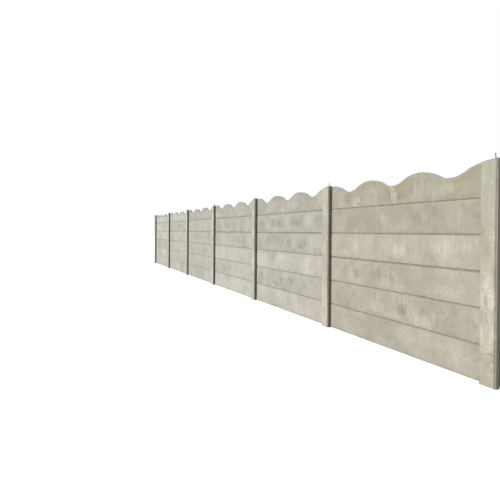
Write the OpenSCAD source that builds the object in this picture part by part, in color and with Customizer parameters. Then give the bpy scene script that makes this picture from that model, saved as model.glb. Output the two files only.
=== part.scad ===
// Precast reinforced concrete boundary wall: H-section posts that stand in a row, with planks
// dropped between them into the posts' slots. Each bay holds plain planks laid edge on edge and
// a wavy plank on top. Everything is shown from ground level up.
//
// Frame: millimetres, +Z up, +X along the wall, the front face towards -Y. The origin is the
// centre of the middle post's foot.

/* [Wall] */
// Number of bays between posts
bays = 6; // [2:1:8]
// Plain planks in each bay, below the wavy one
plain_rows = 5; // [3:1:7]

/* [Plank] */
// Length of a plank, end to end
plank_len = 2050; // [1500:10:2600]
// Height of a plain plank
plank_h = 300; // [200:5:400]
// Thickness of every plank
plank_t = 50; // [40:1:70]
// Bevel along the long edges of a plank, front and back
plank_arris = 10; // [3:1:15]

/* [Wavy plank] */
// Height of the wavy plank at its crests
crest_h = 292; // [220:1:400]
// Rise from the bottom of a trough to the top of a crest
wave_rise = 93; // [40:1:120]
// Whole waves along the plank, with a crest at each end
wave_count = 3; // [2:1:5]
// Share of each half wave that is crest, and the rest trough
crest_share = 0.6; // [0.4:0.05:0.7]
// Level length at the left-hand end, before the waves start
level_left = 29; // [0:1:60]
// Level length at the right-hand end, after the waves stop
level_right = 0; // [0:1:60]

/* [Post] */
// Width of a post along the wall
post_w = 140; // [120:5:200]
// Depth of a post through the wall
post_d = 150; // [130:5:200]
// Depth of each of the two slots that hold the plank ends
slot_depth = 30; // [20:1:40]
// Bevel down the four upright edges of a post
post_arris = 12; // [3:1:15]
// How far a post stands above the crests
post_above_crest = 8; // [0:1:60]

/* [Fit] */
// Gap between a plank's face and the cheek of the slot, each side
cheek_gap = 2; // [1:0.5:5]
// Gap between a plank's end and the back of the slot
end_gap = 0.5; // [0.3:0.1:0.9]

/* [Reinforcing bar] */
// Diameter of the bar that stands out of each post's top
bar_d = 10; // [8:1:16]
// Length of bar above the post
bar_out = 45; // [20:5:120]
// Length of bar cast into the post
bar_in = 60; // [30:5:200]
// From the post's front face to the bar's centre
bar_from_front = 35; // [25:1:40]
// From the post's right-hand face to the bar's centre
bar_from_side = 35; // [25:1:50]

/* [Hidden] */
slot_w = plank_t + 2 * cheek_gap;
web_w = post_w - 2 * slot_depth;
pitch = plank_len + 2 * end_gap + web_w;
top_row_z = plain_rows * plank_h;
post_h = top_row_z + crest_h + post_above_crest;
middle_post = floor(bays / 2);
arc_steps = 7; // flats along each quarter of a wave
cut = 1;       // how far a cutting shape runs past the face that it cuts

plank_colour = [0.72, 0.70, 0.62];
wavy_colour = [0.70, 0.67, 0.58];
post_colour = [0.78, 0.75, 0.67];
bar_colour = [0.36, 0.29, 0.24];

function post_name(i) = str("post_", i + 1);
function plank_name(bay, row) = str("bay_", bay + 1, "_plank_", row + 1);
function wavy_name(bay) = str("bay_", bay + 1, "_wavy_top_plank");
stubs_name = "reinforcing_bar_stubs";

// Centre of post i, and of bay b, along the wall
function post_x(i) = (i - middle_post) * pitch;
function bay_x(b) = post_x(b) + pitch / 2;

// The wavy top edge is made of circular arcs that run smoothly into each other: a crest of
// radius crest_r, then a trough of radius trough_r. wave_slope is the slope where they meet.
half_wave = (plank_len - level_left - level_right) / wave_count / 2;
wave_slope = 2 * atan(wave_rise / half_wave);
crest_r = crest_share * half_wave / sin(wave_slope);
trough_r = (1 - crest_share) * half_wave / sin(wave_slope);

function angles(from, to) =
    let (n = arc_steps * ceil((to - from) / wave_slope))
    [for (i = [0 : n]) from + (to - from) * i / n];
function crest(x, from, to) =
    [for (a = angles(from, to)) [x + crest_r * sin(a), crest_h - crest_r * (1 - cos(a))]];
function trough(x) =
    [for (a = angles(-wave_slope, wave_slope))
        [x + trough_r * sin(a), crest_h - wave_rise + trough_r * (1 - cos(a))]];

// Leaves out a point that repeats the one before it, as where two arcs meet
function without_repeats(p) =
    [for (i = [0 : len(p) - 1]) if (i == 0 || norm(p[i] - p[i - 1]) > 0.01) p[i]];

// Wavy edge from one end of the plank to the other, measured from the plank's left end
wavy_edge = without_repeats([
    [0, crest_h],
    for (w = [0 : wave_count])
        each concat(
            crest(level_left + 2 * half_wave * w,
                  w == 0 ? 0 : -wave_slope,
                  w == wave_count ? 0 : wave_slope),
            w < wave_count ? trough(level_left + 2 * half_wave * (w + 0.5)) : []
        ),
    [plank_len, crest_h]
]);

// Extrudes a 2D outline drawn in Y and Z along X, centred
module along_wall(length) {
    rotate([90, 0, 90]) linear_extrude(length, center = true) children();
}

// Extrudes a 2D outline drawn in X and Z through the wall, centred
module through_wall(depth) {
    rotate([90, 0, 0]) linear_extrude(depth, center = true) children();
}

// Cross-section of a plank, bevelled along the edges that it has front and back
module plank_section(height, bevel_top) {
    t = plank_t / 2;
    a = plank_arris;
    top = bevel_top
        ? [[t, height - a], [t - a, height], [a - t, height], [-t, height - a]]
        : [[t, height], [-t, height]];
    polygon(concat([[-t, a], [a - t, 0], [t - a, 0], [t, a]], top));
}

module plank() {
    color(plank_colour)
        along_wall(plank_len) plank_section(plank_h, true);
}

module wavy_plank() {
    color(wavy_colour)
        intersection() {
            along_wall(plank_len) plank_section(crest_h, false);
            translate([-plank_len / 2, 0, 0])
                through_wall(plank_t + 2 * cut)
                    polygon(concat([[0, 0]], wavy_edge, [[plank_len, 0]]));
        }
}

// H-section: a bevelled rectangle with a slot in each side
module post_section() {
    w = post_w / 2;
    d = post_d / 2;
    a = post_arris;
    difference() {
        polygon([
            [-w, a - d], [a - w, -d], [w - a, -d], [w, a - d],
            [w, d - a], [w - a, d], [a - w, d], [-w, d - a]
        ]);
        for (side = [-1, 1])
            translate([side * (w + cut - slot_depth / 2 - cut / 2), 0])
                square([slot_depth + cut, slot_w], center = true);
    }
}

// Where the bar stands, from the centre of its post
bar_x = post_w / 2 - bar_from_side;
bar_y = bar_from_front - post_d / 2;

module post() {
    color(post_colour)
        difference() {
            linear_extrude(post_h) post_section();
            translate([bar_x, bar_y, post_h - bar_in])
                cylinder(h = bar_in + cut, d = bar_d, $fn = 48);
        }
}

module bar_stub() {
    color(bar_colour)
        translate([bar_x, bar_y, post_h - bar_in])
            cylinder(h = bar_in + bar_out, d = bar_d, $fn = 48);
}

for (i = [0 : bays])
    translate([post_x(i), 0, 0]) post();

for (bay = [0 : bays - 1], row = [0 : plain_rows - 1])
    translate([bay_x(bay), 0, row * plank_h]) plank();

for (bay = [0 : bays - 1])
    translate([bay_x(bay), 0, top_row_z]) wavy_plank();

for (i = [0 : bays])
        translate([post_x(i), 0, 0]) bar_stub();
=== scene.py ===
import math
from types import SimpleNamespace

import bpy
from mathutils import Matrix, Vector


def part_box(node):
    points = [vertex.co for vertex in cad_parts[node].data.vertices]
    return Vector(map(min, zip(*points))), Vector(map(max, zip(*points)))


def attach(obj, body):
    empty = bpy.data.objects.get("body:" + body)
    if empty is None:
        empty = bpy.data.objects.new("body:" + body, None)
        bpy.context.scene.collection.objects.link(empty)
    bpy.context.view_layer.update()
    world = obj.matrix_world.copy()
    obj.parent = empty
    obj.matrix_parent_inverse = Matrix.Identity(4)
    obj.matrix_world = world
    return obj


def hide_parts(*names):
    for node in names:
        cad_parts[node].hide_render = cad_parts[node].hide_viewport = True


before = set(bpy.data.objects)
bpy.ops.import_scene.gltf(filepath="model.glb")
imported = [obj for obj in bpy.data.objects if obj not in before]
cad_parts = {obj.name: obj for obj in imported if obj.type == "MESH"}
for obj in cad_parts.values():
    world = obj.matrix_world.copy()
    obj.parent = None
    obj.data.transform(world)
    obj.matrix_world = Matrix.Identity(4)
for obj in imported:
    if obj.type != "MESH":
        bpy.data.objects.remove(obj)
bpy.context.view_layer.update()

# --------------------------------------------------------------------------------------
# Posts. Each is an H-section of reinforced concrete, cast lying down in a steel mould and
# set in the ground by hand. Its two slots hold the plank ends, and its arrises are bevelled
# by the mould and chipped from handling.


def put(tree, kind, inputs=None, **settings):
    """A node of that kind, with its settings and what goes into its inputs."""
    made = tree.nodes.new(kind)
    for name, value in settings.items():
        setattr(made, name, value)
    for name, value in (inputs or {}).items():
        if isinstance(value, bpy.types.NodeSocket):
            tree.links.new(value, made.inputs[name])
        else:
            made.inputs[name].default_value = value
    return made


def calc(tree, operation, *values):
    """One step of arithmetic in a node tree."""
    return put(tree, "ShaderNodeMath", dict(enumerate(values)), operation=operation).outputs[0]


def ramp(tree, value, low, high, start=0.0, end=1.0, smooth=False):
    """value's travel from low to high, laid on start to end and held there beyond."""
    travel = {"Value": value, "From Min": low, "From Max": high, "To Min": start, "To Max": end}
    kind = "SMOOTHSTEP" if smooth else "LINEAR"
    return put(tree, "ShaderNodeMapRange", travel, interpolation_type=kind).outputs[0]


def new_tree(name, kind, inputs, outputs):
    """An empty tree with named inputs and outputs, and its two end nodes."""
    tree = bpy.data.node_groups.new(name, kind)
    for side, sockets in (("INPUT", inputs), ("OUTPUT", outputs)):
        for label, socket in sockets.items():
            socket_type, value = socket if isinstance(socket, tuple) else (socket, None)
            made = tree.interface.new_socket(name=label, in_out=side, socket_type=socket_type)
            if value is not None:
                made.default_value = value
    return tree, tree.nodes.new("NodeGroupInput").outputs, tree.nodes.new("NodeGroupOutput").inputs


FLOAT, VECTOR, COLOUR = "NodeSocketFloat", "NodeSocketVector", "NodeSocketColor"
SHAPE, STUFF = "NodeSocketGeometry", "NodeSocketMaterial"

# Worn surface: the skin of a casting is never quite flat, and its arrises are chipped. Both
# only take concrete away, and the edges that castings bear on stay flat. The attribute arris
# is 1 along a casting's long edges.
worn, given, result = new_tree("Worn casting", "GeometryNodeTree", {
    "Geometry": SHAPE,
    "Seed": (FLOAT, 0.0),
    "Hollow": (FLOAT, 0.0015),
    "Chip": (FLOAT, 0.006),
    "Chips": (FLOAT, 0.5),
}, {"Geometry": SHAPE})
outwards = put(worn, "GeometryNodeInputNormal").outputs[0]
arris = put(worn, "GeometryNodeInputNamedAttribute", {"Name": "arris"},
            data_type="FLOAT").outputs["Attribute"]


def combine(tree, operation, a, b):
    """Two vectors added, multiplied and so on, part by part."""
    return put(tree, "ShaderNodeVectorMath", {0: a, 1: b}, operation=operation).outputs[0]


def noise(tree, place, seed, scale, detail=2.0, roughness=0.5, distortion=0.0, stretch=None):
    """Cloudy noise, from 0 to 1, pulled out along the axes whose stretch is low."""
    if stretch:
        place = combine(tree, "MULTIPLY", place, stretch)
    return put(tree, "ShaderNodeTexNoise", {
        "Vector": place, "W": seed, "Scale": scale, "Detail": detail, "Roughness": roughness,
        "Distortion": distortion}, noise_dimensions="4D").outputs["Fac"]


def points(tree):
    """Where each point of a shape is."""
    return put(tree, "GeometryNodeInputPosition").outputs[0]


broad = noise(worn, points(worn), given["Seed"], 3.5)
bites = noise(worn, points(worn), given["Seed"], 16.0, 3.0, 0.6)
# The more chips are wanted, the weaker is the noise that already bites.
limit = ramp(worn, given["Chips"], 0.0, 1.0, 0.75, 0.45)
bite = ramp(worn, bites, limit, calc(worn, "ADD", limit, 0.1))


def parts_of(tree, whole):
    """The X, Y and Z of a vector."""
    return put(tree, "ShaderNodeSeparateXYZ", {0: whole}).outputs


def less(tree, whole, *taken):
    """A value with others taken from it."""
    for part in taken:
        whole = calc(tree, "SUBTRACT", whole, part)
    return whole


def product(tree, whole, *factors):
    """The product of several values."""
    for factor in factors:
        whole = calc(tree, "MULTIPLY", whole, factor)
    return whole


def total(tree, *terms):
    """The sum of each term's product."""
    whole = 0.0
    for a, b in terms:
        whole = calc(tree, "ADD", product(tree, a, b), whole)
    return whole


facing_up = calc(worn, "ABSOLUTE", parts_of(worn, outwards)["Z"])
hollow = product(worn, less(worn, 1.0, facing_up), given["Hollow"])
depth = total(worn, (broad, hollow), (product(worn, bite, arris), given["Chip"]))


def scaled(tree, whole, factor):
    """A vector or a colour, multiplied all through by a factor."""
    return put(tree, "ShaderNodeVectorMath", {0: whole, "Scale": factor},
               operation="SCALE").outputs[0]


def shift(tree, geometry, **where):
    """The geometry with its points at a new Position, or moved by an Offset."""
    return put(tree, "GeometryNodeSetPosition", {"Geometry": geometry, **where}).outputs[0]


inwards = scaled(worn, outwards, product(worn, depth, -1.0))
worn.links.new(shift(worn, given["Geometry"], Offset=inwards), result["Geometry"])

# Post: a ring of points in the shape of the H, carried up in courses and closed at both ends.
# One quarter of the H runs round five sides, from the middle of the front face to the middle
# of the slot's back, and the other quarters mirror it.
SIDES = 5
SIDE_STEPS = 3
# A hair, by which a limit takes in what lies right on it, and a divisor stays above nothing.
JUST_OVER = 0.001
post_tree, given, result = new_tree("Cast post", "GeometryNodeTree", {
    "Width": (FLOAT, 0.14),
    "Depth": (FLOAT, 0.15),
    "Height": (FLOAT, 1.8),
    "Slot Width": (FLOAT, 0.054),
    "Slot Depth": (FLOAT, 0.03),
    "Bevel": (FLOAT, 0.012),
    "Course": (FLOAT, 0.018),
    "Top Fall": (FLOAT, 0.012),
    "Top Reach": (FLOAT, 0.14),
    "Centre": (FLOAT, 0.0),
    "Batch": (FLOAT, 0.0),
    "Warmth": (FLOAT, 0.0),
    "Seed": (FLOAT, 0.0),
    "Material": STUFF,
}, {"Geometry": SHAPE})
tree = post_tree


def ring_of(tree, count):
    """A ring of that many points, still to be moved into shape."""
    return put(tree, "GeometryNodeCurvePrimitiveCircle", {"Resolution": count}).outputs[0]


ring = ring_of(tree, 4 * SIDES * SIDE_STEPS)
index = put(tree, "GeometryNodeInputIndex").outputs[0]
turn = calc(tree, "DIVIDE", index, SIDE_STEPS)
along = calc(tree, "PINGPONG", turn, SIDES)
half_w, half_d, half_s = (product(tree, given[label], 0.5)
                          for label in ("Width", "Depth", "Slot Width"))
side = [ramp(tree, along, i, i + 1) for i in range(SIDES)]
bevel = given["Bevel"]
flat_w = less(tree, half_w, bevel)
cheek = less(tree, half_d, bevel, half_s)
ring_x = total(tree, (side[0], flat_w), (side[1], bevel),
               (side[3], product(tree, given["Slot Depth"], -1.0)))
ring_y = less(tree, total(tree, (side[1], bevel), (side[2], cheek), (side[4], half_s)), half_d)
on_right = calc(tree, "COMPARE", turn, SIDES, SIDES + JUST_OVER)
from_front = calc(tree, "PINGPONG", turn, 2 * SIDES)
on_front = calc(tree, "COMPARE", from_front, 0.0, SIDES + JUST_OVER)
to_right = ramp(tree, on_right, 0.0, 1.0, -1.0, 1.0)
to_front = ramp(tree, on_front, 0.0, 1.0, -1.0, 1.0)
# Chips come along the bevels, and less along the mouths of the slots.
on_arris = product(tree, ramp(tree, along, 0.6, 1.0), ramp(tree, along, 2.0, 2.6, 1.0, 0.0))
on_mouth = ramp(tree, calc(tree, "ABSOLUTE", less(tree, along, 3.0)), 0.0, 0.4, 0.7, 0.0)


def vector(tree, **parts):
    """A vector with X, Y and Z as given, or else 0."""
    return put(tree, "ShaderNodeCombineXYZ", parts).outputs[0]


def note(tree, geometry, **values):
    """The geometry with values noted at its points, for its material to read by name."""
    for label, value in values.items():
        geometry = put(tree, "GeometryNodeStoreNamedAttribute", {
            "Geometry": geometry, "Name": label, "Value": value},
            data_type="FLOAT", domain="POINT").outputs[0]
    return geometry


def carry(tree, ring, start, end, count):
    """A closed form: a ring of points carried from start to end in that many courses."""
    line = put(tree, "GeometryNodeCurvePrimitiveLine", {"Start": start, "End": end}).outputs[0]
    courses = put(tree, "GeometryNodeResampleCurve", {"Curve": line, "Count": count}).outputs[0]
    return put(tree, "GeometryNodeCurveToMesh", {
        "Curve": courses, "Profile Curve": ring, "Fill Caps": True}).outputs[0]


shaped = shift(tree, ring, Position=vector(
    tree, X=product(tree, ring_x, to_right), Y=product(tree, ring_y, to_front)))
# around is how far round from the middle of the face a point is, in sides of the ring, and
# minus on the left.
marked = note(tree, shaped, arris=calc(tree, "ADD", on_arris, on_mouth),
              around=product(tree, along, to_right), warmth=given["Warmth"])
carried = carry(tree, marked, (0.0, 0.0, 0.0), vector(tree, Z=given["Height"]),
                calc(tree, "DIVIDE", given["Height"], given["Course"]))
# The top was struck off by hand, and falls away towards its left-hand corners.
parts = parts_of(tree, points(tree))
near_top = ramp(tree, parts["Z"], less(tree, given["Height"], given["Top Reach"]), given["Height"])
leftward = calc(tree, "DIVIDE", less(tree, half_w, parts["X"]), given["Width"])
leftward = calc(tree, "POWER", calc(tree, "MAXIMUM", leftward, 0.0), 1.5)
lowered = product(tree, leftward, near_top, given["Top Fall"], -1.0)
struck = shift(tree, carried, Offset=vector(tree, Z=lowered))
moved = put(tree, "GeometryNodeTransform", {
    "Geometry": struck, "Translation": vector(tree, X=given["Centre"])}).outputs[0]


def hand_over(tree, geometry, given, result):
    """Ends a tree: plain geometry comes out of it, with its material."""
    real = put(tree, "GeometryNodeRealizeInstances", {"Geometry": geometry}).outputs[0]
    painted = put(tree, "GeometryNodeSetMaterial", {
        "Geometry": real, "Material": given["Material"]}).outputs[0]
    tree.links.new(painted, result["Geometry"])


SHARP_ANGLE = 0.6


def finish_casting(tree, geometry, given, result, **wear):
    """Wears a casting, marks it for its material, and shades it smooth between its edges."""
    casting = put(tree, "GeometryNodeGroup", {"Geometry": geometry, "Seed": given["Seed"], **wear},
                  node_tree=worn).outputs[0]
    casting = note(tree, casting, seed=given["Seed"], batch=given["Batch"])
    smooth = put(tree, "GeometryNodeSetShadeSmooth", {"Geometry": casting, "Shade Smooth": True})
    angle = put(tree, "GeometryNodeInputMeshEdgeAngle").outputs[0]
    sharp = calc(tree, "GREATER_THAN", angle, SHARP_ANGLE)
    edged = put(tree, "GeometryNodeSetShadeSmooth", {
        "Geometry": smooth.outputs[0], "Selection": sharp, "Shade Smooth": False}, domain="EDGE")
    hand_over(tree, edged.outputs[0], given, result)


finish_casting(tree, moved, given, result, Chip=0.007)


def cast(tree, piece_name, **inputs):
    """A plain mesh object made by a geometry tree from the inputs given by name."""
    mould = bpy.data.objects.new("mould", bpy.data.meshes.new("mould"))
    bpy.context.scene.collection.objects.link(mould)
    modifier = mould.modifiers.new("cast", "NODES")
    modifier.node_group = tree
    identifiers = {item.name: item.identifier for item in tree.interface.items_tree
                   if item.in_out == "INPUT"}
    for label, value in inputs.items():
        modifier[identifiers[label.replace("_", " ").title()]] = value
    mould.data.update()
    depsgraph = bpy.context.evaluated_depsgraph_get()
    depsgraph.update()
    mesh = bpy.data.meshes.new_from_object(mould.evaluated_get(depsgraph))
    bpy.data.objects.remove(mould)
    mesh.name = piece_name
    piece = bpy.data.objects.new(piece_name, mesh)
    bpy.context.scene.collection.objects.link(piece)
    return piece


# Cast concrete: cement paste, clouded where it dried unevenly, with sand showing and air holes
# left by bubbles against the mould. Water has brought out whitish lime and left grey grime.
LIME = (0.74, 0.715, 0.63)


def tint(tree, amount, under, over, kind="MIX"):
    """The colour over, laid on the colour under by amount."""
    under, over = ((*c, 1.0) if isinstance(c, tuple) else c for c in (under, over))
    # 0, 6 and 7 are the factor and the two colours of a Mix node.
    mixed = put(tree, "ShaderNodeMix", {0: amount, 6: under, 7: over}, data_type="RGBA",
                blend_type=kind)
    return mixed.outputs[2]


concrete, asked, given_out = new_tree("Cast concrete", "ShaderNodeTree", {
    "Position": VECTOR,
    "Seed": (FLOAT, 0.0),
    "Body": (COLOUR, (0.5, 0.47, 0.38, 1.0)),
    "Pale": (COLOUR, (0.62, 0.59, 0.49, 1.0)),
    "Grime": (COLOUR, (0.28, 0.27, 0.2, 1.0)),
    "Clouds": (FLOAT, 0.6),
    "Runs": (FLOAT, 0.5),
    "Stains": (FLOAT, 0.5),
    "Stained Here": (FLOAT, 0.0),
    "Lime Here": (FLOAT, 0.0),
    "Runs Here": (FLOAT, 0.0),
    "Batch": (FLOAT, 0.0),
    "Warmth": (FLOAT, 0.0),
}, {"Colour": COLOUR, "Roughness": FLOAT, "Height": FLOAT})
spot, seed = asked["Position"], asked["Seed"]


def own_seed(number):
    """A seed of its own for one more noise."""
    return calc(concrete, "ADD", seed, number)


def here_and_there(number, scale, low, high, all_over, lone):
    """Where an effect lies: in patches as strong as all_over, and in the lone places."""
    patches = ramp(concrete, noise(concrete, spot, own_seed(number), scale, 1.0), low, high)
    return calc(concrete, "MAXIMUM", product(concrete, patches, asked[all_over]), asked[lone])


clouds = noise(concrete, spot, seed, 3.4, 4.0, 0.55, 0.3)
mottle = noise(concrete, spot, seed, 13.0, 5.0, 0.65, 0.5)
colour = tint(concrete, product(concrete, ramp(concrete, clouds, 0.38, 0.68), asked["Clouds"]),
              asked["Body"], asked["Pale"])
colour = tint(concrete, ramp(concrete, mottle, 0.46, 0.74, 0.0, 0.34), colour, asked["Grime"])
colour = tint(concrete, ramp(concrete, mottle, 0.46, 0.28, 0.0, 0.3), colour, asked["Pale"])
hue = ramp(concrete, noise(concrete, spot, own_seed(21.0), 2.3), 0.36, 0.64)
hue = tint(concrete, hue, (1.010, 0.996, 0.994), (0.990, 1.004, 1.0))
colour = tint(concrete, 1.0, colour, hue, "MULTIPLY")
# Grime gathers as smudges, each broken up into darker spots.
where = here_and_there(7.0, 1.7, 0.5, 0.66, "Stains", "Stained Here")
blots = noise(concrete, spot, own_seed(11.0), 23.0, 4.0, 0.66, 0.9, stretch=(1.0, 1.0, 0.75))
stains = product(concrete, ramp(concrete, blots, 0.38, 0.66, 0.12, 1.0), where)
colour = tint(concrete, stains, colour, asked["Grime"])
# Lime comes out in swirls and rings.
swirls = noise(concrete, spot, own_seed(15.0), 17.0, 3.0, 0.55, 2.2)
lime = product(concrete, ramp(concrete, swirls, 0.40, 0.60, 0.1, 1.0), asked["Lime Here"])
colour = tint(concrete, lime, colour, LIME)
# It also runs down in fine streaks.
where = here_and_there(3.0, 3.0, 0.52, 0.64, "Runs", "Runs Here")
trails = noise(concrete, spot, own_seed(5.0), 1.0, 3.0, 0.6, 0.4, stretch=(44.0, 44.0, 6.0))
runs = product(concrete, ramp(concrete, trails, 0.47, 0.66), where)
colour = tint(concrete, runs, colour, (0.76, 0.735, 0.645))
# Each cell may hold one air hole, and most are too small to show.
holes = put(concrete, "ShaderNodeTexVoronoi", {"Vector": spot, "Scale": 42.0, "Randomness": 1.0})
chance = put(concrete, "ShaderNodeSeparateColor", {0: holes.outputs["Color"]}).outputs[0]
size = ramp(concrete, chance, 0.72, 1.0, 0.0, 0.16)
hole = ramp(concrete, less(concrete, holes.outputs["Distance"], size), -0.04, 0.02, 1.0, 0.0)
sand = noise(concrete, spot, seed, 210.0, 3.0, 0.7)
grit = noise(concrete, spot, own_seed(31.0), 70.0, 2.0, 0.6, stretch=(1.0, 1.0, 0.7))
grains = product(concrete, ramp(concrete, sand, 0.3, 0.7, 0.93, 1.07),
                 ramp(concrete, grit, 0.3, 0.7, 0.945, 1.055))
# Each air hole is darkened too, a painted shade in the hole.
shade = product(concrete, grains, ramp(concrete, hole, 0.0, 1.0, 1.0, 0.55),
                calc(concrete, "ADD", asked["Batch"], 1.0))
# Warmth runs from neutral by way of a faint rose to a faint yellow.
rosy = tint(concrete, ramp(concrete, asked["Warmth"], 0.0, 0.6), (1.0, 1.0, 1.0),
            (1.0, 0.946, 0.918))
warm = tint(concrete, ramp(concrete, asked["Warmth"], 0.6, 1.0), rosy, (1.0, 0.957, 0.869))
concrete.links.new(tint(concrete, 1.0, scaled(concrete, colour, shade), warm, "MULTIPLY"),
                   given_out["Colour"])
concrete.links.new(ramp(concrete, mottle, 0.3, 0.7, 0.86, 0.96), given_out["Roughness"])
relief = total(concrete, (sand, 0.8), (grit, 0.5), (mottle, 1.2), (clouds, 1.5), (hole, -1.6),
               (runs, 0.25), (lime, 0.25))
concrete.links.new(relief, given_out["Height"])

# A mark that lies in one place: full in the middle, and gone at its half size away.
lone_mark, asked, given_out = new_tree("Lone mark", "ShaderNodeTree", {
    "Position": VECTOR,
    "Middle": VECTOR,
    "Half Size": (VECTOR, (0.1, 0.1, 0.1)),
    "Amount": (FLOAT, 1.0),
}, {"Mask": FLOAT})
away = combine(lone_mark, "SUBTRACT", asked["Position"], asked["Middle"])
away = combine(lone_mark, "DIVIDE", away, asked["Half Size"])
away = put(lone_mark, "ShaderNodeVectorMath", {0: away}, operation="LENGTH").outputs["Value"]
mask = product(lone_mark, ramp(lone_mark, away, 1.0, 0.3, smooth=True), asked["Amount"])
lone_mark.links.new(mask, given_out["Mask"])


def lay_marks(tree, position, marks):
    """One mask for several lone marks, each given as its middle, half size and amount."""
    mask = None
    for middle, half_size, amount in marks:
        mark = put(tree, "ShaderNodeGroup", {
            "Position": position, "Middle": middle, "Half Size": half_size, "Amount": amount},
            node_tree=lone_mark).outputs[0]
        mask = calc(tree, "MAXIMUM", mask, mark) if mask else mark
    return mask


def crooked(tree, place, axis, reach):
    """The place, pulled to and fro along an axis, so that a thin mark laid there is crooked."""
    astray = ramp(tree, noise(tree, place, 5.0, 20.0, 5.0, 0.65), 0.3, 0.7, -reach, reach)
    return combine(tree, "ADD", place, vector(tree, **{axis: astray}))


def noted(tree, label):
    """A value that was noted on the mesh."""
    return put(tree, "ShaderNodeAttribute", attribute_name=label).outputs["Fac"]


def concrete_material(name, **inputs):
    """A material of cast concrete. An input given as a list is lone marks. The colour is still
    to be linked, once more is laid over it."""
    material = bpy.data.materials.new(name)
    material.use_nodes = True
    tree = material.node_tree
    shader = tree.nodes["Principled BSDF"]
    shader.inputs["Specular IOR Level"].default_value = 0.25
    place = put(tree, "ShaderNodeTexCoord").outputs["Object"]
    mix = put(tree, "ShaderNodeGroup", {"Position": place}, node_tree=concrete)
    for label in ("Seed", "Batch", "Warmth"):
        tree.links.new(noted(tree, label.lower()), mix.inputs[label])
    # The edges of lone marks wander by a few centimetres.
    wander = put(tree, "ShaderNodeTexNoise", {"Vector": place, "Scale": 11.0, "Detail": 2.0})
    wander = combine(tree, "ADD", wander.outputs["Color"], (-0.5, -0.5, -0.5))
    wandered = combine(tree, "ADD", place, combine(tree, "MULTIPLY", wander, (0.09, 0.0, 0.07)))
    for label, value in inputs.items():
        socket = mix.inputs[label.replace("_", " ").title()]
        if isinstance(value, list):
            tree.links.new(lay_marks(tree, wandered, value), socket)
        else:
            socket.default_value = (*value, 1.0) if isinstance(value, tuple) else value
    tree.links.new(mix.outputs["Roughness"], shader.inputs["Roughness"])
    bump = put(tree, "ShaderNodeBump", {
        "Height": mix.outputs["Height"], "Strength": 0.5, "Distance": 0.003})
    tree.links.new(bump.outputs[0], shader.inputs["Normal"])
    return SimpleNamespace(material=material, tree=tree, place=place, wandered=wandered,
                           colour=mix.outputs["Colour"], base=shader.inputs["Base Color"])


def lay(look, amount, shade, kind="MIX"):
    """Lays one more shade over a material's colour."""
    look.colour = tint(look.tree, amount, look.colour, shade, kind)


posts = sorted(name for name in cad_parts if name.startswith("post_"))
# How far in from the front a lone mark reaches.
MARK_DEPTH = 0.02


def corners(node_name):
    """The lowest and the highest corner of a CAD node."""
    return (Vector(corner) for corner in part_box(node_name))


def on_posts(marks):
    """Lone marks on post fronts, by the post's number. Each is given as how far it is to the
    right of the middle, how high, half its width, half its height and how strong it is."""
    laid = []
    for number, places in marks.items():
        low, high = corners(posts[number - 1])
        for across, height, half_width, half_height, amount in places:
            middle = ((low.x + high.x) / 2 + across, low.y, height)
            laid.append((middle, (half_width, MARK_DEPTH, half_height), amount))
    return laid


post_look = concrete_material(
    "Post concrete", body=(0.525, 0.514, 0.444), pale=(0.67, 0.66, 0.59), grime=(0.30, 0.285, 0.21),
    clouds=0.75, runs=0.45, stains=0.45,
    stained_here=on_posts({
        7: [(-0.02, 1.1, 0.06, 0.12, 0.6), (0.02, 0.08, 0.06, 0.07, 0.3),
            (0.0, 1.73, 0.1, 0.06, 0.35), (0.01, 1.46, 0.09, 0.05, 0.25)],
        6: [(0.0, 1.3, 0.08, 0.1, 0.5), (-0.02, 1.12, 0.07, 0.07, 0.5), (0.0, 0.18, 0.08, 0.1, 0.4),
            (0.03, 1.7, 0.03, 0.08, 0.3)],
        5: [(0.0, 1.28, 0.07, 0.05, 0.4), (0.01, 0.5, 0.1, 0.14, 0.6)],
        3: [(0.0, 0.3, 0.2, 0.4, 0.3)],
        2: [(0.0, 0.3, 0.2, 0.45, 0.45)],
    }),
    lime_here=on_posts({
        7: [(0.02, 0.68, 0.045, 0.13, 0.6), (0.0, 0.36, 0.075, 0.2, 0.6),
            (0.04, 1.18, 0.03, 0.1, 0.6), (-0.04, 1.29, 0.03, 0.04, 0.5),
            (0.01, 1.62, 0.03, 0.06, 0.4), (0.02, 0.1, 0.05, 0.08, 0.4),
            (-0.045, 0.13, 0.025, 0.06, 0.7), (0.03, 0.17, 0.035, 0.03, 0.6),
            (0.045, 0.06, 0.025, 0.05, 0.6)],
        6: [(0.0, 1.48, 0.04, 0.09, 0.7), (-0.02, 1.0, 0.06, 0.08, 0.6),
            (0.0, 0.28, 0.07, 0.025, 0.6)],
        5: [(-0.01, 1.19, 0.07, 0.08, 1.0), (0.0, 0.7, 0.07, 0.1, 0.4)],
        4: [(0.0, 1.5, 0.07, 0.15, 0.4)],
        3: [(0.0, 1.5, 0.1, 0.4, 0.45)],
        2: [(0.0, 1.5, 0.1, 0.4, 0.6)],
    }),
    runs_here=on_posts({7: [(0.0, 0.42, 0.06, 0.19, 0.9), (0.0, 0.9, 0.04, 0.1, 0.5)]}))
tree, place, wandered = post_look.tree, post_look.place, post_look.wandered
# A dark line runs along the right-hand bevels. The last post, with no bay beyond it, is painted
# pale there and round its side as painted light, and gets little of the painted shade that darkens
# the sides and slots of the other posts; on the left-hand sides that painted shade is weaker.
around = noted(tree, "around")
uneven = noise(tree, place, 9.0, 9.0, 3.0, 0.6)
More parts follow.
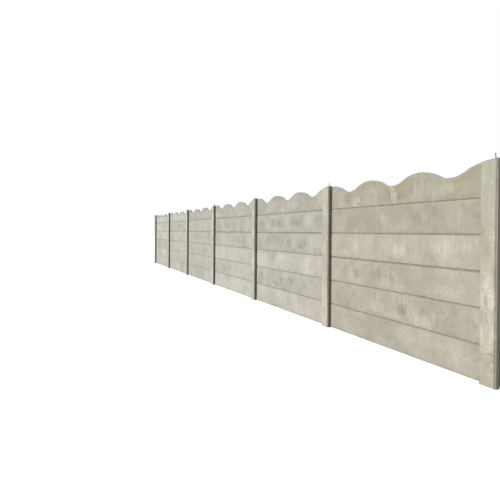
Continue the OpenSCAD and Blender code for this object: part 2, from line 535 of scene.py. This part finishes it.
# The side of the last post that no bay covers, and how far from its middle that is felt.
low, high = corners(posts[-1])
end_side = (low + high) / 2 + Vector((0.07, 0.0, 0.1))
end_reach = (0.2, 0.4, 3.0)
open_end = lay_marks(tree, place, [(end_side, end_reach, 1.0)])
by_bar = lay_marks(tree, place, on_posts({7: [(0.062, 1.79, 0.03, 0.16, 1.0)]}))
# Painted light: the last post's right-hand bevel and side are painted paler.
lay(post_look, product(tree, ramp(tree, around, 1.1, 1.3), open_end, 0.6), (0.58, 0.545, 0.43))
# A dark line along the right-hand bevels, left off beside the last post's bar.
bevel_dark_line = product(tree, ramp(tree, around, 0.9, 0.98), ramp(tree, around, 1.24, 1.36, 1.0, 0.0),
                     less(tree, 1.0, by_bar), ramp(tree, uneven, 0.35, 0.6, 0.45, 0.75))
lay(post_look, bevel_dark_line, (0.20, 0.185, 0.135))
# Painted shade on the posts' sides and slots, kept off most of the last post's right-hand side.
side_shade_share = less(tree, 1.0, product(tree, open_end, 0.82))
painted_side_shade = calc(tree, "MAXIMUM", product(tree, ramp(tree, around, 1.1, 1.9), side_shade_share),
                ramp(tree, around, -2.0, -2.3, 0.0, 0.7))
lay(post_look, product(tree, painted_side_shade, ramp(tree, uneven, 0.3, 0.7, 0.72, 0.9)),
    (0.16, 0.15, 0.105))
# The end post has a chalky bloom round a knot of grime with a tail below it, a crack across
# its foot and another down its corner from the bar.
bloom = lay_marks(tree, wandered, on_posts({
    7: [(-0.005, 0.82, 0.06, 0.14, 0.85), (-0.04, 0.7, 0.04, 0.15, 0.6),
        (0.025, 0.69, 0.045, 0.15, 0.75), (-0.04, 0.4, 0.022, 0.1, 0.45),
        (0.035, 0.38, 0.03, 0.14, 0.5)]}))
chalk = ramp(tree, noise(tree, place, 2.0, 38.0, 3.0, 0.55, 1.5), 0.36, 0.62, 0.3, 1.0)
lay(post_look, product(tree, bloom, chalk), (0.75, 0.73, 0.65))
grime = lay_marks(tree, place, on_posts({
    7: [(-0.013, 0.672, 0.021, 0.052, 0.5), (-0.009, 0.525, 0.013, 0.08, 0.45),
        (-0.022, 0.4, 0.014, 0.08, 0.25), (0.002, 0.41, 0.012, 0.08, 0.25),
        (-0.035, 0.768, 0.032, 0.014, 0.25)]}))
lay(post_look, grime, (0.30, 0.28, 0.23))
crack = lay_marks(tree, crooked(tree, place, "Z", 0.01), on_posts({
    7: [(-0.042, 0.242, 0.026, 0.007, 0.4), (-0.015, 0.254, 0.026, 0.007, 0.4),
        (0.016, 0.262, 0.032, 0.007, 0.45), (0.05, 0.26, 0.032, 0.007, 0.55)]}))
lay(post_look, crack, (0.24, 0.225, 0.17))
corner_crack = lay_marks(tree, place, on_posts({7: [(0.0655, 1.745, 0.0035, 0.075, 0.85)]}))
lay(post_look, corner_crack, (0.12, 0.11, 0.08))
# Here and there a length of post stays damp, and a little greener.
damp = lay_marks(tree, wandered, on_posts({
    7: [(0.0, 1.55, 0.12, 0.4, 0.22), (-0.02, 1.69, 0.08, 0.05, 0.3), (0.0, 1.53, 0.12, 0.1, 0.38),
        (0.0, 1.3, 0.12, 0.05, 0.33)],
    6: [(0.0, 1.45, 0.12, 0.45, 0.35), (0.0, 0.8, 0.12, 0.12, 0.35)],
    5: [(0.0, 0.4, 0.12, 0.1, 0.3)],
}))
lay(post_look, damp, (0.43, 0.465, 0.42))
# The top few centimetres of each post are painted bluer and darker, as painted sky light.
height = parts_of(tree, wandered)["Z"]
lay(post_look, ramp(tree, height, 1.755, 1.792, 0.0, 0.65), (0.38, 0.44, 0.455))
tree.links.new(post_look.colour, post_look.base)

# Each post's batch, warmth and how far its top falls away, from the left-hand end.
post_casts = ((0.0, 0.0, 0.012), (-0.03, 0.0, 0.018), (0.02, 0.0, 0.012), (0.08, 0.0, 0.02),
              (-0.02, 0.1, 0.024), (0.03, 0.45, 0.028), (-0.045, 1.0, 0.016))
for number, (node_name, (batch, warmth, top_fall)) in enumerate(zip(posts, post_casts)):
    low, high = corners(node_name)
    post = cast(post_tree, node_name + "_cast", width=high.x - low.x, depth=high.y - low.y,
                height=high.z - low.z, top_fall=top_fall, centre=(low.x + high.x) / 2,
                batch=batch, warmth=warmth, seed=number * 3.7 + 1.0, material=post_look.material)
    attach(post, "root")
    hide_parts(node_name)

# --------------------------------------------------------------------------------------
# Bar stubs. One of each post's reinforcing bars is left long and stands out of the top. It
# is hot-rolled ribbed steel, rusted brown.

bar_tree, given, result = new_tree("Ribbed bar", "GeometryNodeTree", {
    "Radius": (FLOAT, 0.005),
    "Bottom": (FLOAT, 1.74),
    "Top": (FLOAT, 1.845),
    "X": (FLOAT, 0.0),
    "Y": (FLOAT, 0.0),
    "Rib Pitch": (FLOAT, 0.007),
    "Course": (FLOAT, 0.0014),
    "Concrete": (FLOAT, 1.8),
    "Lean": (FLOAT, 0.0),
    "Material": STUFF,
}, {"Geometry": SHAPE})
tree = bar_tree
BAR_SIDES = 20
round_bar = put(tree, "GeometryNodeCurvePrimitiveCircle", {
    "Resolution": BAR_SIDES, "Radius": given["Radius"]}).outputs[0]
foot = vector(tree, X=given["X"], Y=given["Y"], Z=given["Bottom"])
tip = vector(tree, X=given["X"], Y=given["Y"], Z=given["Top"])
length = less(tree, given["Top"], given["Bottom"])
rod = carry(tree, round_bar, foot, tip, calc(tree, "DIVIDE", length, given["Course"]))
# The ribs climb round each side of the bar, and the steel between them is thinner.
from_axis = combine(tree, "SUBTRACT", points(tree), foot)
parts = parts_of(tree, from_axis)
angle = calc(tree, "ABSOLUTE", calc(tree, "ARCTAN2", parts["Y"], parts["X"]))
ribs_up = calc(tree, "DIVIDE", parts["Z"], given["Rib Pitch"])
turned = calc(tree, "ADD", product(tree, ribs_up, 2.0 * math.pi), angle)
sunk = ramp(tree, calc(tree, "SINE", turned), 0.2, 0.8, 0.84, 1.0)
thinned = combine(tree, "MULTIPLY", from_axis, vector(tree, X=sunk, Y=sunk, Z=1.0))
ribbed = shift(tree, rod, Position=combine(tree, "ADD", thinned, foot))
# Most bars have been knocked a little out of upright.
height = parts_of(tree, points(tree))["Z"]
knocked = calc(tree, "POWER", ramp(tree, height, given["Concrete"], given["Top"]), 1.4)
leant = shift(tree, ribbed, Offset=vector(tree, X=product(tree, knocked, given["Lean"])))
hand_over(tree, leant, given, result)

rust = bpy.data.materials.new("Rusted bar")
rust.use_nodes = True
tree = rust.node_tree
shader = tree.nodes["Principled BSDF"]
place = put(tree, "ShaderNodeTexCoord").outputs["Object"]
patches = noise(tree, place, 0.0, 180.0, 4.0, 0.65)
flakes = noise(tree, place, 4.0, 700.0, 3.0, 0.6)
colour = tint(tree, ramp(tree, patches, 0.35, 0.65), (0.25, 0.31, 0.355), (0.27, 0.22, 0.18))
colour = tint(tree, ramp(tree, flakes, 0.5, 0.75, 0.0, 0.6), colour, (0.36, 0.28, 0.21))
bump = put(tree, "ShaderNodeBump", {"Height": flakes, "Strength": 0.5, "Distance": 0.0005})
for label, value in (("Base Color", colour), ("Normal", bump.outputs[0]),
                     ("Roughness", ramp(tree, patches, 0.35, 0.65, 0.6, 0.9)),
                     ("Metallic", ramp(tree, patches, 0.3, 0.5, 0.7, 0.1))):
    tree.links.new(value, shader.inputs[label])

# Each bar stands as far in from its post's right-hand side as the last one does.
low, high = corners("reinforcing_bar_stubs")
radius = (high.y - low.y) / 2
to_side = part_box(posts[-1])[1][0] - (high.x - radius)
# How far over each bar's tip leans, from the left-hand end.
leans = (0.004, -0.003, 0.002, -0.005, 0.003, -0.002, -0.006)
stubs = []
for node_name, lean in zip(posts, leans):
    post_high = Vector(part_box(node_name)[1])
    stubs.append(cast(bar_tree, "stub", radius=radius, bottom=low.z, top=high.z,
                      x=post_high.x - to_side, y=(low.y + high.y) / 2, concrete=post_high.z,
                      lean=lean, material=rust))
with bpy.context.temp_override(active_object=stubs[0], selected_editable_objects=stubs):
    bpy.ops.object.join()
bars = stubs[0]
bars.name = "bar_ends"
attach(bars, "root")
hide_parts("reinforcing_bar_stubs")

# --------------------------------------------------------------------------------------
# Planks. Plain concrete planks, dropped one on another between two posts. Their long edges
# are bevelled front and back, so each joint shows as a V-shaped line.

plank_tree, given, result = new_tree("Cast plank", "GeometryNodeTree", {
    "Length": (FLOAT, 2.05),
    "Height": (FLOAT, 0.3),
    "Thickness": (FLOAT, 0.05),
    "Bevel": (FLOAT, 0.01),
    "Wave Rise": (FLOAT, 0.0),
    "Waves": (FLOAT, 3.0),
    "Crest Share": (FLOAT, 0.6),
    "Level Left": (FLOAT, 0.029),
    "Level Right": (FLOAT, 0.0),
    "Level Foot": (FLOAT, 0.03),
    "Step": (FLOAT, 0.014),
    "Centre": (FLOAT, 0.0),
    "Bottom": (FLOAT, 0.0),
    "Seed": (FLOAT, 0.0),
    "Batch": (FLOAT, 0.0),
    "Warmth": (FLOAT, 0.0),
    "Warming": (FLOAT, 0.0),
    "Ledge Dirt": (FLOAT, 0.4),
    "Material": STUFF,
}, {"Geometry": SHAPE})
tree = plank_tree
# The ring starts at the middle of the front face and goes down, under, up the back and over the
# top. Each quarter has six steps on the face, two on the bevel and one across the edge.
FACE, BEVEL, EDGE = 6, 2, 1
QUARTER = FACE + BEVEL + EDGE
ring = ring_of(tree, 4 * QUARTER)
index = put(tree, "GeometryNodeInputIndex").outputs[0]
along = calc(tree, "PINGPONG", index, QUARTER)
half_t, half_h, half_l = (product(tree, given[label], 0.5)
                          for label in ("Thickness", "Height", "Length"))
below = calc(tree, "COMPARE", index, QUARTER, QUARTER + JUST_OVER)
behind = calc(tree, "COMPARE", index, 2 * QUARTER, QUARTER + JUST_OVER)
wavy = calc(tree, "GREATER_THAN", given["Wave Rise"], 0.0)
# A wavy plank loses most of the bevel along its top.
BEVEL_LOST = 0.8
bevelled = calc(tree, "MAXIMUM", below, less(tree, 1.0, product(tree, wavy, BEVEL_LOST)))
bevel = product(tree, given["Bevel"], bevelled)
# The steps on the face grow shorter towards its edges.
up_face = calc(tree, "POWER", ramp(tree, along, 0.0, FACE), 0.6)
on_bevel = ramp(tree, along, FACE, FACE + BEVEL)
across = ramp(tree, along, FACE + BEVEL, QUARTER)
from_middle = total(tree, (up_face, less(tree, half_h, bevel)), (on_bevel, bevel))
inset = total(tree, (on_bevel, bevel), (across, less(tree, half_t, bevel)))
# Carried along X, the ring's own X and Y come out as -Y and -Z.
to_front = ramp(tree, behind, 0.0, 1.0, 1.0, -1.0)
to_bottom = ramp(tree, below, 0.0, 1.0, -1.0, 1.0)
shaped = shift(tree, ring, Position=vector(
    tree, X=product(tree, less(tree, half_t, inset), to_front),
    Y=product(tree, from_middle, to_bottom)))
on_arris = product(tree, ramp(tree, along, FACE - 0.8, FACE),
                   ramp(tree, along, FACE + 1.0, FACE + 3.0, 1.0, 0.0))
middle_z = calc(tree, "ADD", given["Bottom"], half_h)
left = vector(tree, X=less(tree, given["Centre"], half_l), Z=middle_z)
right = vector(tree, X=calc(tree, "ADD", given["Centre"], half_l), Z=middle_z)
carried = carry(tree, note(tree, shaped, arris=on_arris), left, right,
                calc(tree, "DIVIDE", given["Length"], given["Step"]))

# The wave: crests and troughs are arcs that run into each other, as far down as a plank allows.
parts = parts_of(tree, points(tree))
height = less(tree, parts["Z"], given["Bottom"])
from_centre = less(tree, parts["X"], given["Centre"])
waved = less(tree, given["Length"], given["Level Left"], given["Level Right"])
half_wave = product(tree, calc(tree, "DIVIDE", waved, given["Waves"]), 0.5)
slope = calc(tree, "ARCTANGENT", calc(tree, "DIVIDE", given["Wave Rise"], half_wave))
rise = calc(tree, "SINE", product(tree, slope, 2.0))
whole_r = calc(tree, "DIVIDE", half_wave, calc(tree, "MAXIMUM", rise, JUST_OVER))
crest_r = product(tree, whole_r, given["Crest Share"])
trough_r = less(tree, whole_r, crest_r)
run = less(tree, calc(tree, "ADD", from_centre, half_l), given["Level Left"])
run = calc(tree, "MINIMUM", calc(tree, "MAXIMUM", run, 0.0), waved)
off_crest = calc(tree, "PINGPONG", run, half_wave)
off_trough = less(tree, half_wave, off_crest)


def arc(radius, off):
    """How far an arc of that radius has fallen that far from its middle."""
    rest = less(tree, product(tree, radius, radius), product(tree, off, off))
    rest = calc(tree, "SQRT", calc(tree, "MAXIMUM", rest, 0.0))
    return less(tree, radius, rest)


on_crest = calc(tree, "LESS_THAN", off_crest, product(tree, half_wave, given["Crest Share"]))
over_trough = less(tree, given["Wave Rise"], arc(trough_r, off_trough))
# 0, 2 and 3 are the factor and the two values of a Mix node.
fall = put(tree, "ShaderNodeMix", {
    0: on_crest, 2: over_trough, 3: arc(crest_r, off_crest)}, data_type="FLOAT").outputs[0]
fall = product(tree, fall, wavy)
share = ramp(tree, height, given["Level Foot"], given["Height"])
lowered = product(tree, fall, share, -1.0)
waves = shift(tree, carried, Offset=vector(tree, Z=lowered))
# The mix of a plank can warm from its left-hand end to its right-hand one.
to_right = ramp(tree, from_centre, product(tree, half_l, -1.0), half_l)
warmth = calc(tree, "ADD", given["Warmth"], product(tree, given["Warming"], to_right))
marked = note(tree, waves, from_top=less(tree, given["Height"], fall, height),
              from_bottom=height, warmth=warmth, ledge_dirt=given["Ledge Dirt"])
finish_casting(tree, marked, given, result, Chips=0.45)

# The pale of worn edges, also laid as painted light on the bevels that face down in the joints.
PALE_WEAR_AND_PAINTED_LIGHT = (0.66, 0.64, 0.55)


def plank_material(name, **inputs):
    """Plank concrete, with the dirt and the pale wear of its long edges."""
    look = concrete_material(name, **inputs)
    tree = look.tree
    look.from_top, look.from_bottom = noted(tree, "from_top"), noted(tree, "from_bottom")
    look.ragged = noise(tree, look.place, noted(tree, "seed"), 30.0, 3.0, 0.6)
    worn_edge = product(tree, ramp(tree, look.from_top, 0.008, 0.012),
                        ramp(tree, look.from_top, 0.014, 0.026, 1.0, 0.0),
                        ramp(tree, look.ragged, 0.35, 0.6, 0.0, 0.25))
    lay(look, worn_edge, PALE_WEAR_AND_PAINTED_LIGHT)
    dust = product(tree, ramp(tree, look.from_bottom, 0.01, 0.06, 1.0, 0.0),
                   ramp(tree, look.ragged, 0.35, 0.65, 0.0, 0.2))
    lay(look, dust, (0.25, 0.235, 0.17))
    return look


def finish_joints(look, top):
    """The V of each joint is painted pale above as painted light on the bevel that faces down, and
    dirty below, and black where the planks meet as a painted shadow of the gap with dirt in it. top
    says that another plank lies on this one. The colour is then done."""
    tree = look.tree
    # Painted light: the bevel that faces down, the upper half of the V, is painted pale.
    lay(look, ramp(tree, look.from_bottom, 0.006, 0.012, 0.6, 0.0), PALE_WEAR_AND_PAINTED_LIGHT)
    # Black where the planks meet: a painted shadow of the gap, with dirt in it.
    gap_shade_and_dirt = ramp(tree, look.from_bottom, 0.0005, 0.0015, 1.0, 0.0)
    if top:
        lodged = product(tree, ramp(tree, look.from_top, 0.006, 0.018, 1.0, 0.0),
                         noted(tree, "ledge_dirt"))
        soil = tint(tree, noted(tree, "warmth"), (0.205, 0.21, 0.185), (0.235, 0.215, 0.155))
        lay(look, lodged, soil)
        gap_shade_and_dirt = calc(tree, "MAXIMUM", gap_shade_and_dirt,
                       ramp(tree, look.from_top, 0.0005, 0.002, 1.0, 0.0))
    lay(look, product(tree, gap_shade_and_dirt, ramp(tree, look.ragged, 0.35, 0.6, 0.35, 0.75)),
        (0.10, 0.095, 0.075))
    tree.links.new(look.colour, look.base)


WAVY_ROW = 6


def on_planks(marks):
    """Lone marks on plank fronts, by the plank's bay and row. Each is given as its share of the
    bay's clear length and of the plank's height, half its width, half its height and how strong
    it is."""
    laid = []
    for (bay, row), places in marks.items():
        # The bay is clear from one post's right-hand side to the next one's left.
        left, right = Vector(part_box(posts[bay - 1])[1]), Vector(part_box(posts[bay])[0])
        low, high = corners(f"bay_{bay}_wavy_top_plank" if row == WAVY_ROW
                            else f"bay_{bay}_plank_{row}")
        for share, up, half_width, half_height, amount in places:
            middle = (left.x + share * (right.x - left.x), low.y, low.z + up * (high.z - low.z))
            laid.append((middle, (half_width, MARK_DEPTH, half_height), amount))
    return laid


plank_look = plank_material(
    "Plank concrete", body=(0.478, 0.469, 0.412), pale=(0.60, 0.597, 0.536),
    grime=(0.27, 0.265, 0.2), clouds=0.75, runs=0.35, stains=0.4,
    stained_here=on_planks({
        (6, 5): [(0.2, 0.45, 0.16, 0.1, 0.32), (0.72, 0.55, 0.3, 0.14, 0.35)],
        (6, 4): [(0.11, 0.6, 0.11, 0.08, 0.35)],
        (6, 3): [(0.24, 0.4, 0.09, 0.1, 0.9), (0.13, 0.5, 0.11, 0.09, 0.45),
                 (0.31, 0.7, 0.09, 0.06, 0.4), (0.42, 0.55, 0.1, 0.1, 0.8),
                 (0.54, 0.6, 0.14, 0.07, 0.35)],
        (6, 2): [(0.22, 0.55, 0.14, 0.09, 0.4), (0.59, 0.42, 0.12, 0.13, 0.85),
                 (0.71, 0.55, 0.11, 0.09, 0.45), (0.46, 0.65, 0.12, 0.07, 0.35),
                 (0.95, 0.5, 0.09, 0.14, 0.45)],
        (6, 1): [(0.06, 0.5, 0.2, 0.16, 0.4)],
        (5, 5): [(0.1, 0.55, 0.18, 0.09, 0.75), (0.29, 0.55, 0.13, 0.11, 0.7),
                 (0.41, 0.5, 0.17, 0.13, 0.75), (0.65, 0.5, 0.24, 0.11, 0.7),
                 (0.92, 0.5, 0.16, 0.14, 0.6)],
        (5, 4): [(0.55, 0.5, 0.1, 0.12, 0.65), (0.73, 0.5, 0.17, 0.13, 0.8),
                 (0.2, 0.5, 0.2, 0.1, 0.35)],
        (5, 2): [(0.34, 0.3, 0.17, 0.06, 1.0), (0.43, 0.5, 0.07, 0.1, 1.0),
                 (0.56, 0.5, 0.13, 0.11, 1.0), (0.08, 0.5, 0.12, 0.15, 0.8)],
        (5, 1): [(0.33, 0.08, 0.1, 0.06, 1.0), (0.41, 0.12, 0.05, 0.05, 1.0)],
        (4, 5): [(0.35, 0.5, 0.3, 0.1, 0.45)],
        (4, 4): [(0.6, 0.5, 0.3, 0.1, 0.4)],
        (3, 4): [(0.4, 0.5, 0.4, 0.12, 0.5)],
        (3, 3): [(0.7, 0.5, 0.3, 0.12, 0.4)],
        (2, 5): [(0.6, 0.5, 0.4, 0.12, 0.4)],
        (2, 3): [(0.3, 0.5, 0.3, 0.12, 0.5)],
    }),
    lime_here=on_planks({
        (6, 4): [(0.23, 0.5, 0.06, 0.11, 0.43), (0.32, 0.5, 0.14, 0.12, 0.3),
                 (0.13, 0.22, 0.18, 0.04, 0.37), (0.56, 0.45, 0.12, 0.11, 0.43),
                 (0.82, 0.55, 0.16, 0.11, 0.5)],
        (6, 3): [(0.24, 0.2, 0.14, 0.06, 0.37), (0.46, 0.25, 0.16, 0.06, 0.37),
                 (0.86, 0.4, 0.22, 0.09, 0.37), (0.56, 0.22, 0.12, 0.05, 0.31)],
        (6, 2): [(0.4, 0.35, 0.15, 0.09, 0.5), (0.52, 0.18, 0.2, 0.05, 0.43),
                 (0.61, 0.72, 0.09, 0.05, 0.43), (0.8, 0.5, 0.16, 0.13, 0.4),
                 (0.71, 0.3, 0.16, 0.07, 0.37)],
        (6, 1): [(0.59, 0.65, 0.13, 0.09, 0.43), (0.88, 0.6, 0.22, 0.13, 0.34)],
        (5, 5): [(0.52, 0.65, 0.12, 0.09, 0.5), (0.19, 0.3, 0.12, 0.06, 0.43),
                 (0.31, 0.8, 0.16, 0.04, 0.43), (0.8, 0.5, 0.1, 0.12, 0.43)],
        (5, 3): [(0.13, 0.55, 0.2, 0.12, 0.43), (0.45, 0.7, 0.2, 0.07, 0.37),
                 (0.77, 0.6, 0.16, 0.1, 0.43)],
        (5, 2): [(0.5, 0.78, 0.2, 0.05, 0.43), (0.2, 0.75, 0.2, 0.05, 0.31)],
        (5, 1): [(0.43, 0.7, 0.25, 0.1, 0.31)],
        (4, 3): [(0.5, 0.5, 0.4, 0.12, 0.31)],
        (4, 1): [(0.5, 0.5, 0.5, 0.12, 0.25)],
    }),
    runs_here=on_planks({
        (6, 5): [(0.42, 0.5, 0.14, 0.13, 0.6), (0.5, 0.6, 0.08, 0.09, 0.45),
                 (0.7, 0.55, 0.07, 0.09, 0.38), (0.87, 0.5, 0.09, 0.1, 0.52)],
        (6, 4): [(0.56, 0.45, 0.1, 0.1, 0.6), (0.82, 0.5, 0.14, 0.12, 0.75)],
        (6, 2): [(0.52, 0.8, 0.12, 0.05, 0.38)],
        (5, 4): [(0.87, 0.55, 0.2, 0.1, 0.75)],
        (5, 3): [(0.15, 0.5, 0.1, 0.1, 0.38)],
    }))
finish_joints(plank_look, top=True)

# How warm a bay's mix is at its left-hand end, and how much warmer at the other, where it isn't
# neutral.
warmths = {5: (0.0, 0.3), 6: (0.55, 0.45)}


def cast_plank(node_name, bay, **inputs):
    """A plank of the size of its node, in its bay's mix."""
    low, high = corners(node_name)
    warmth, warming = warmths.get(bay, (0.0, 0.0))
    return cast(plank_tree, node_name + "_cast", length=high.x - low.x, height=high.z - low.z,
                thickness=high.y - low.y, centre=(low.x + high.x) / 2, bottom=low.z,
                warmth=warmth, warming=warming, **inputs)


# Each bay's planks come from several castings, of slightly different tones, from the bottom up.
batches = {
    1: (0.06, 0.09, -0.01, 0.10, 0.08),
    2: (0.05, 0.04, 0.08, 0.055, 0.0),
    3: (0.0, 0.045, -0.01, 0.0, 0.02),
    4: (0.10, 0.06, 0.11, -0.02, -0.035),
    5: (0.10, -0.04, 0.12, -0.035, -0.05),
    6: (-0.045, -0.035, 0.0, 0.03, -0.11),
}
# How much dirt lies on the top of each course, from the bottom up, and on the last bay's, and
# how dirty each bay is.
ledges, last_ledges = (0.5, 0.3, 0.42, 0.75, 0.45), (0.53, 0.45, 0.72, 0.5, 0.28)
dirtiness = {1: 0.3, 2: 0.4, 3: 0.55, 4: 0.8, 5: 0.85, 6: 1.0}
for bay, tones in batches.items():
    for row, (tone, ledge) in enumerate(zip(tones, last_ledges if bay == 6 else ledges), 1):
        node_name = f"bay_{bay}_plank_{row}"
        plank = cast_plank(node_name, bay, seed=bay * 8.3 + row * 2.9, batch=tone,
                           ledge_dirt=ledge * dirtiness[bay], material=plank_look.material)
        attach(plank, "root")
        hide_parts(node_name)

# --------------------------------------------------------------------------------------
# Wavy top planks. The last plank of each bay is cast with a wavy top, and weather gets at it first,
# so its face is more clouded; its edge is painted blue-grey as sky light.

wavy_look = plank_material(
    "Wavy plank concrete", body=(0.465, 0.452, 0.396), pale=(0.58, 0.572, 0.513),
    grime=(0.26, 0.25, 0.18), clouds=0.75, runs=0.35, stains=0.4,
    stained_here=on_planks({
        (6, 6): [(0.57, 0.42, 0.12, 0.1, 0.65), (0.64, 0.5, 0.05, 0.1, 0.5),
                 (0.16, 0.4, 0.1, 0.11, 0.7), (0.42, 0.35, 0.1, 0.1, 0.3),
                 (0.72, 0.65, 0.06, 0.12, 0.6), (0.47, 0.4, 0.03, 0.12, 0.5)],
        (5, 6): [(0.15, 0.4, 0.1, 0.1, 0.5), (0.48, 0.3, 0.14, 0.09, 0.4)],
        (4, 6): [(0.5, 0.3, 0.3, 0.09, 0.4)],
    }),
    lime_here=on_planks({
        (6, 6): [(0.525, 0.28, 0.06, 0.09, 0.8), (0.23, 0.2, 0.1, 0.08, 0.75),
                 (0.5, 0.6, 0.04, 0.05, 0.35)],
        (5, 6): [(0.61, 0.35, 0.1, 0.09, 0.49), (0.25, 0.3, 0.12, 0.07, 0.35)],
        (2, 6): [(0.5, 0.4, 0.7, 0.12, 0.42)],
        (1, 6): [(0.5, 0.4, 0.9, 0.12, 0.42)],
    }),
    runs_here=on_planks({
        (6, 6): [(0.515, 0.5, 0.03, 0.15, 0.75), (0.64, 0.5, 0.12, 0.12, 0.45)],
    }))
tree, place = wavy_look.tree, wavy_look.place
ragged, from_top = wavy_look.ragged, wavy_look.from_top
# The edge holds damp, which has darkened the face below it.
damp = product(tree, ramp(tree, from_top, 0.0, 0.09, 1.0, 0.0),
               ramp(tree, ragged, 0.3, 0.7, 0.0, 0.45))
lay(wavy_look, damp, (0.31, 0.295, 0.24))
# One plank is an olive shade greener than the rest.
olive = lay_marks(tree, place, on_planks({(6, 6): [(0.45, 0.5, 1.8, 0.6, 1.0)]}))
lay(wavy_look, olive, (1.0, 1.015, 0.975), "MULTIPLY")
# Rust from the steel inside has come through along some crests.
rusty = lay_marks(tree, wavy_look.wandered, on_planks({
    (6, 6): [(0.36, 0.84, 0.19, 0.05, 0.45), (0.58, 0.68, 0.14, 0.055, 0.6),
             (0.16, 0.5, 0.08, 0.09, 0.22), (0.88, 0.58, 0.1, 0.04, 0.4)],
    (5, 6): [(0.37, 0.84, 0.27, 0.055, 0.5), (0.82, 0.72, 0.2, 0.05, 0.35)],
}))
lay(wavy_look, product(tree, rusty, ramp(tree, ragged, 0.3, 0.6, 0.3, 1.0)), (0.46, 0.345, 0.215))
# One has cracked down from its trough, and lime has filled the crack beside it.
askew = crooked(tree, place, "X", 0.014)
cracked = lay_marks(tree, askew, on_planks({(6, 6): [(0.488, 0.36, 0.006, 0.13, 0.7)]}))
lay(wavy_look, cracked, (0.22, 0.20, 0.15))
filled = lay_marks(tree, askew, on_planks({(6, 6): [(0.506, 0.48, 0.009, 0.11, 0.8)]}))
lay(wavy_look, product(tree, filled, ramp(tree, ragged, 0.35, 0.6, 0.5, 1.0)), LIME)
# The edge itself is painted blue-grey as sky light, much as the tops of the posts are.
lay(wavy_look, ramp(tree, from_top, 0.004, 0.013, 0.75, 0.0), (0.37, 0.42, 0.44))
finish_joints(wavy_look, top=False)

WAVE_RISE = 0.093
wavy_batches = {1: 0.12, 2: 0.11, 3: -0.05, 4: 0.01, 5: -0.03, 6: -0.08}
for bay, tone in wavy_batches.items():
    node_name = f"bay_{bay}_wavy_top_plank"
    plank = cast_plank(node_name, bay, wave_rise=WAVE_RISE, seed=bay * 5.1 + 40.0, batch=tone,
                       material=wavy_look.material)
    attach(plank, "root")
    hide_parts(node_name)

# --------------------------------------------------------------------------------------
# Studio: a pale floor, a broad key lamp in front, a softer one behind, and a pale surround.


def meets_background(tree):
    """1 for a ray that comes from the camera, straight or by way of something shiny or clear."""
    rays = put(tree, "ShaderNodeLightPath").outputs
    indirect = calc(tree, "MAXIMUM", rays["Is Glossy Ray"], rays["Is Transmission Ray"])
    return calc(tree, "MAXIMUM", rays["Is Camera Ray"], indirect)


WHITE = (1.0, 1.0, 1.0, 1.0)
FAR = 90.0
ground = bpy.data.meshes.new("floor")
ground.from_pydata([(-FAR, -FAR, 0.0), (FAR, -FAR, 0.0), (FAR, FAR, 0.0), (-FAR, FAR, 0.0)], [],
                   [(0, 1, 2, 3)])
floor = bpy.data.objects.new("floor", ground)
bpy.context.scene.collection.objects.link(floor)
paint = bpy.data.materials.new("Studio floor")
paint.use_nodes = True
tree = paint.node_tree
seen = meets_background(tree)
shader = tree.nodes["Principled BSDF"]
tree.links.new(tint(tree, seen, (0.32, 0.31, 0.29), (0.93, 0.93, 0.93)),
               shader.inputs["Base Color"])
shader.inputs["Roughness"].default_value = 0.9
shader.inputs["Emission Color"].default_value = WHITE
tree.links.new(product(tree, seen, 0.35), shader.inputs["Emission Strength"])
ground.materials.append(paint)

world = bpy.data.worlds.new("Surround")
bpy.context.scene.world = world
world.use_nodes = True
tree = world.node_tree
backdrop = tree.nodes["Background"].inputs
tree.links.new(ramp(tree, meets_background(tree), 0.0, 1.0, 0.15, 1.0), backdrop["Strength"])
backdrop["Color"].default_value = WHITE

# Each lamp's strength, how broad it is, and the way it shines.
lamps = {"key": (3.19, 0.2, (0.17, 1.0, -0.75)), "back": (2.2, 0.3, (0.35, -1.0, -0.6))}
for name, (strength, breadth, towards) in lamps.items():
    lamp = bpy.data.lights.new(name, "SUN")
    lamp.energy = strength
    lamp.angle = breadth
    lit = bpy.data.objects.new(name, lamp)
    lit.rotation_euler = Vector(towards).to_track_quat("-Z", "Y").to_euler()
    bpy.context.scene.collection.objects.link(lit)

# Camera: it stands near the right-hand end, at chest height, and looks along the front.
camera = bpy.data.cameras.new("camera")
camera.sensor_width = 36.0
camera.lens = 27.826
camera.shift_y = -0.033
camera.clip_end = 300.0
stand = (8.34392, -3.07599, 1.21210)
# How far it is turned away from the wall's run, tipped down and tipped over.
yaw, pitch, roll = 0.442391, 0.004845, 0.007610
level = Vector((-math.cos(yaw), math.sin(yaw), 0.0))
level_right = Vector((math.sin(yaw), math.cos(yaw), 0.0))
upright = Vector((0.0, 0.0, 1.0))
ahead = level * math.cos(pitch) - upright * math.sin(pitch)
over = upright * math.cos(pitch) + level * math.sin(pitch)
right = level_right * math.cos(roll) + over * math.sin(roll)
up = over * math.cos(roll) - level_right * math.sin(roll)
viewer = bpy.data.objects.new("camera", camera)
turned = Matrix((right, up, -ahead)).transposed().to_4x4()
viewer.matrix_world = Matrix.Translation(stand) @ turned
bpy.context.scene.collection.objects.link(viewer)
bpy.context.scene.camera = viewer
bpy.context.scene.view_settings.view_transform = "Standard"
